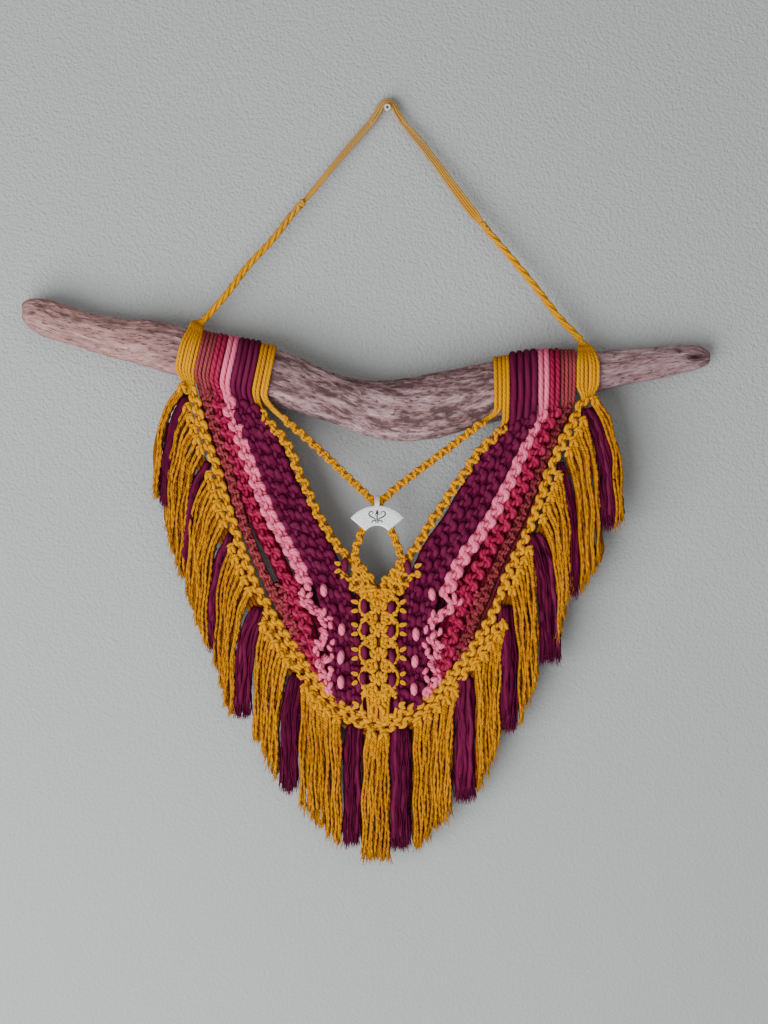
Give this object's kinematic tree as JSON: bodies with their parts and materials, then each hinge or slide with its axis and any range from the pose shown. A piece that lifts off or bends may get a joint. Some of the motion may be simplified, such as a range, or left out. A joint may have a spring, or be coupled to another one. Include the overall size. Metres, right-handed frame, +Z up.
{
  "type": "macrame wall hanging on a driftwood branch",
  "caption": "V-shaped knotted cotton wall hanging in mustard, plum, pink and rose, with a fringed edge and a fan charm, on a driftwood branch with a cord hanger and its nail.",
  "frame": {"origin": "middle of the nail's flat back end, on the wall plane", "axes": "+X to the right seen from the front, +Y into the wall, +Z up"},
  "size_m": [0.554, 0.05, 0.6197],
  "materials": {
    "driftwood": "weathered, dry and matte, with darker streaks along the grain",
    "mustard_cord": "matte twisted cotton",
    "plum_cord": "matte soft single-twist cotton",
    "pink_cord": "matte soft single-twist cotton",
    "raspberry_cord": "matte soft cotton",
    "dusty_rose_cord": "matte soft cotton",
    "charm_silver": "satin silver with a fine hammered grain",
    "nail_metal": "satin"
  },
  "bodies": {
    "root": {"centre_column": "mustard_cord", "driftwood_branch": "driftwood", "dusty_rose_left": "dusty_rose_cord", "dusty_rose_right": "dusty_rose_cord", "edging_left": "mustard_cord", "edging_right": "mustard_cord", "fan_charm": "charm_silver", "fringe_01_mustard": "mustard_cord", "fringe_02_plum": "plum_cord", "fringe_03_mustard": "mustard_cord", "fringe_04_plum": "plum_cord", "fringe_05_mustard": "mustard_cord", "fringe_06_plum": "plum_cord", "fringe_07_mustard": "mustard_cord", "fringe_08_plum": "plum_cord", "fringe_09_mustard": "mustard_cord", "fringe_10_plum": "plum_cord", "fringe_11_mustard": "mustard_cord", "fringe_12_plum": "plum_cord", "fringe_13_mustard": "mustard_cord", "fringe_14_plum": "plum_cord", "fringe_15_mustard": "mustard_cord", "fringe_16_plum": "plum_cord", "fringe_17_mustard": "mustard_cord", "fringe_18_plum": "plum_cord", "fringe_19_mustard": "mustard_cord", "fringe_20_plum": "plum_cord", "fringe_21_mustard": "mustard_cord", "fringe_22_plum": "plum_cord", "fringe_23_mustard": "mustard_cord", "fringe_24_plum": "plum_cord", "fringe_25_mustard": "mustard_cord", "hanger_left": "mustard_cord", "hanger_loop": "mustard_cord", "hanger_right": "mustard_cord", "pink_left": "pink_cord", "pink_right": "pink_cord", "plum_inner_left": "plum_cord", "plum_inner_right": "plum_cord", "plum_outer_left": "plum_cord", "plum_outer_right": "plum_cord", "raspberry_left": "raspberry_cord", "raspberry_right": "raspberry_cord", "strap_left": "mustard_cord", "strap_right": "mustard_cord", "v_edge_left": "mustard_cord", "v_edge_right": "mustard_cord", "wall_nail": "nail_metal"}
  },
  "joints": []
}
